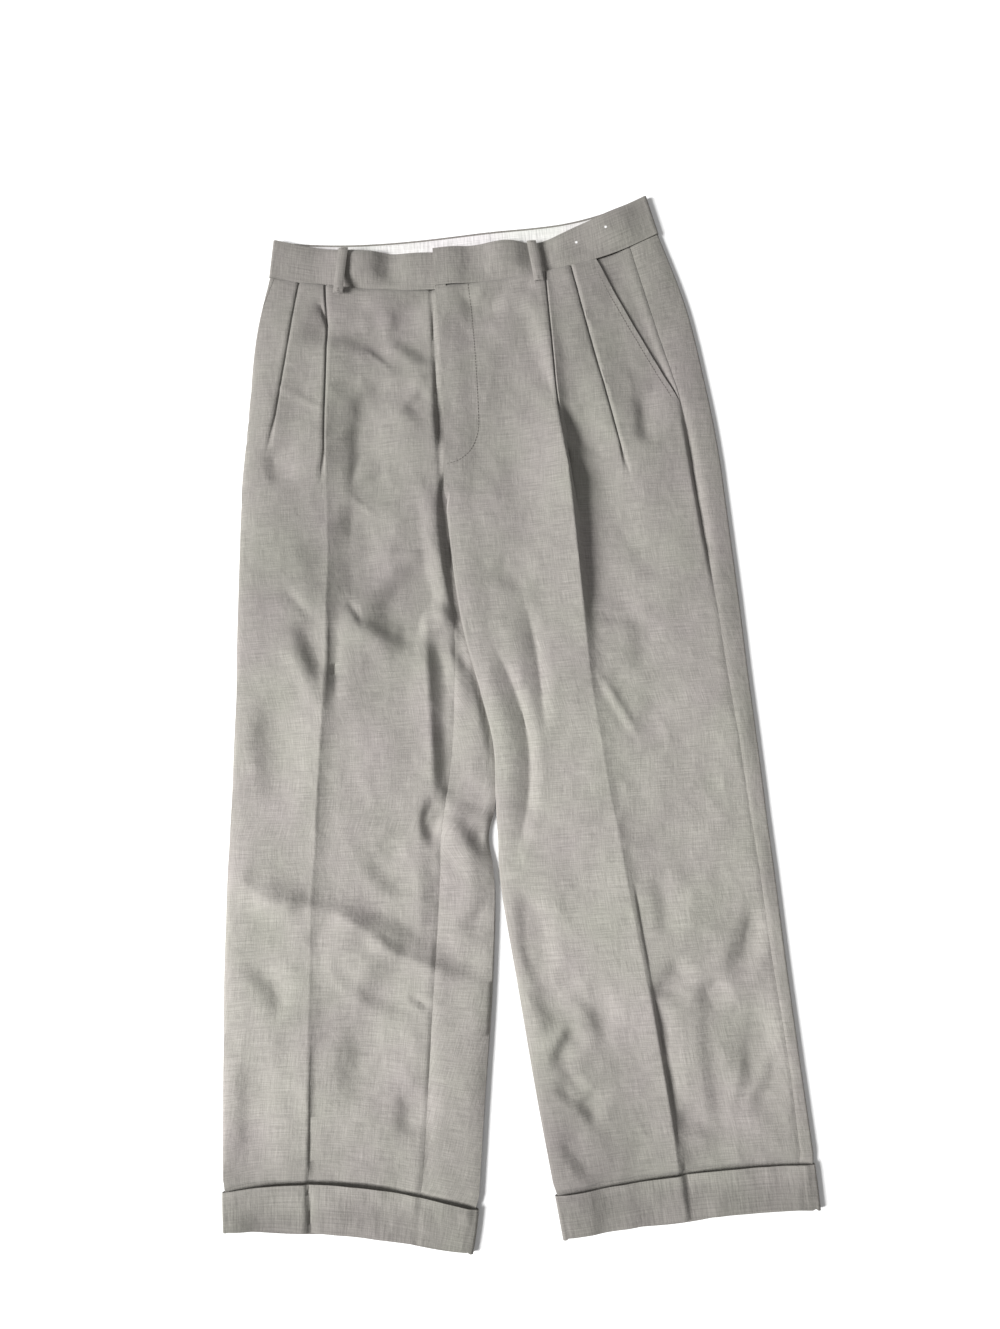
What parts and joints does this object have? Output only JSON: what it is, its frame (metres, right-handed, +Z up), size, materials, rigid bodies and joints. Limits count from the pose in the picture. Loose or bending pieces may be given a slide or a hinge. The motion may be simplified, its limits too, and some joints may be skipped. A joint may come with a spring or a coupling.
{
  "type": "pleated dress trousers",
  "caption": "Pleated dress trousers with slanted pockets, belt loops and turn-ups, laid flat on their back with the left leg over the right.",
  "frame": {"origin": "centre of the garment's bounding box on the surface it lies on", "axes": "+X to the wearer's left, +Y from the hems to the waist, +Z up off the surface"},
  "size_m": [0.5764, 1.0803, 0.0185],
  "materials": {
    "wool": "plain-woven greige worsted wool, matt with a faint dry sheen",
    "lining": "white cotton waistband lining, matt"
  },
  "bodies": {
    "root": {"front_left": "wool", "front_right": "wool", "back_left": "wool", "back_right": "wool", "pocket_facing_left": "wool", "pocket_facing_right": "wool", "waistband_left": "wool", "waistband_right": "wool", "belt_loop_left": "wool", "belt_loop_right": "wool", "turn_up_left": "wool", "turn_up_right": "wool", "waist_lining_left": "lining", "waist_lining_right": "lining"}
  },
  "joints": []
}
